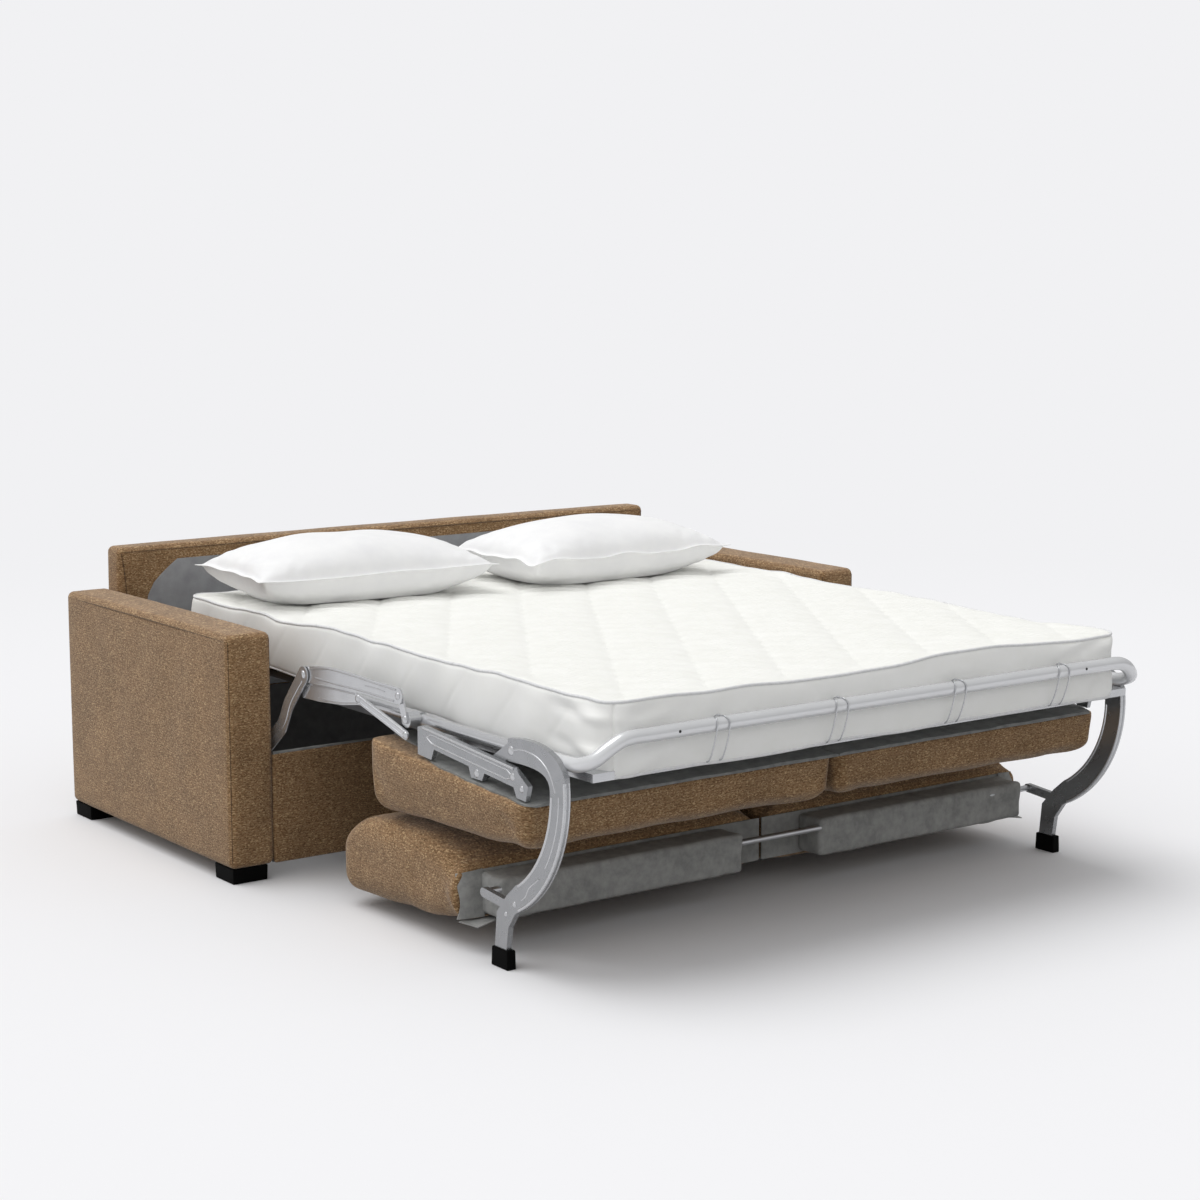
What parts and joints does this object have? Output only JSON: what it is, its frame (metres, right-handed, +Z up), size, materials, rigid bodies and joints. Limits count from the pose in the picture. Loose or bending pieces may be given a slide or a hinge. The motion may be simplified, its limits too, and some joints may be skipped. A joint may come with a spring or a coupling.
{
  "type": "sofa bed",
  "caption": "Fabric sofa bed opened flat: mattress on a folding steel frame, seat and back cushions slung underneath, pillows at the head",
  "frame": {"origin": "on the floor under the middle of the whole object with the bed open", "axes": "+X to the right arm seen from the foot of the bed, +Y to the sofa's back, +Z up"},
  "size_m": [2.1, 2.2648, 0.8123],
  "materials": {
    "upholstery": "woven brown upholstery cloth",
    "lining": "grey non-woven lining cloth",
    "ticking": "white quilted mattress ticking",
    "linen": "white cotton",
    "steel": "silver-grey painted pressed steel",
    "plastic": "black moulded plastic"
  },
  "bodies": {
    "carcass": {"left_arm": "upholstery", "right_arm": "upholstery", "left_front_foot": "plastic", "right_front_foot": "plastic", "left_rear_foot": "plastic", "right_rear_foot": "plastic", "left_head_ledge": "steel", "right_head_ledge": "steel", "left_pivot_bracket": "steel", "right_pivot_bracket": "steel", "back": "upholstery", "back_lining": "lining", "front_panel": "upholstery"},
    "rocker": {"left_rocker": "steel", "right_rocker": "steel"},
    "middle_section": {"left_upper_arm": "steel", "right_upper_arm": "steel", "left_lower_arm": "steel", "right_lower_arm": "steel", "left_diagonal_link": "steel", "right_diagonal_link": "steel", "left_hub": "steel", "right_hub": "steel", "left_middle_rail": "steel", "right_middle_rail": "steel", "middle_slats": "steel", "mattress_middle": "ticking"},
    "foot_section": {"left_foot_rail": "steel", "right_foot_rail": "steel", "foot_bow": "steel", "foot_slats": "steel", "mattress_foot": "ticking", "wire_stirrup_1": "steel", "wire_stirrup_2": "steel", "wire_stirrup_3": "steel", "wire_stirrup_4": "steel"},
    "seat": {"left_seat_cushion": "upholstery", "right_seat_cushion": "upholstery", "left_seat_board": "lining", "right_seat_board": "lining", "left_seat_channel": "steel", "right_seat_channel": "steel"},
    "backrest": {"left_back_cushion": "upholstery", "right_back_cushion": "upholstery", "left_back_pad": "lining", "right_back_pad": "lining", "left_leg": "steel", "right_leg": "steel", "left_leg_cap": "plastic", "right_leg_cap": "plastic", "back_cross_tube": "steel"},
    "head_section": {"mattress_head": "ticking", "head_slats": "steel", "head_tube": "steel", "left_pillow": "linen", "right_pillow": "linen"}
  },
  "joints": [
    {"name": "bed_fold", "type": "hinge", "parent": "carcass", "child": "rocker", "pos_m": [0, 0.34241, 0.276], "axis": [-1, 0, 0], "range_deg": [0, 160.63]},
    {"name": "middle_level", "type": "hinge", "parent": "rocker", "child": "middle_section", "pos_m": [0, 0.03241, 0.55], "axis": [1, 0, 0], "range_deg": [0, 160.73]},
    {"name": "foot_fold", "type": "hinge", "parent": "middle_section", "child": "foot_section", "pos_m": [0, -0.47759, 0.652], "axis": [-1, 0, 0], "range_deg": [0, 180.1]},
    {"name": "seat_slide", "type": "slide", "parent": "foot_section", "child": "seat", "axis": [0, -0.7735, 0.6338], "range_m": [0, 0.05243]},
    {"name": "backrest_turn", "type": "hinge", "parent": "seat", "child": "backrest", "pos_m": [0, -0.72059, 0.434], "axis": [-1, 0, 0], "range_deg": [0, 87.3]},
    {"name": "head_tilt", "type": "hinge", "parent": "carcass", "child": "head_section", "pos_m": [0, 0.82111, 0.6907], "axis": [1, 0, 0], "range_deg": [0, 90.1], "deforming": ["mattress_head", "left_pillow", "right_pillow"]}
  ],
  "couplings": [
    {"joint": "middle_level", "follows": "bed_fold", "ratio": 1},
    {"joint": "foot_fold", "follows": "bed_fold", "ratio": 1.1206},
    {"joint": "seat_slide", "follows": "bed_fold", "m_per_rad": 0.018629},
    {"joint": "backrest_turn", "follows": "bed_fold", "ratio": 0.54286},
    {"joint": "head_tilt", "follows": "bed_fold", "ratio": 0.56029}
  ]
}
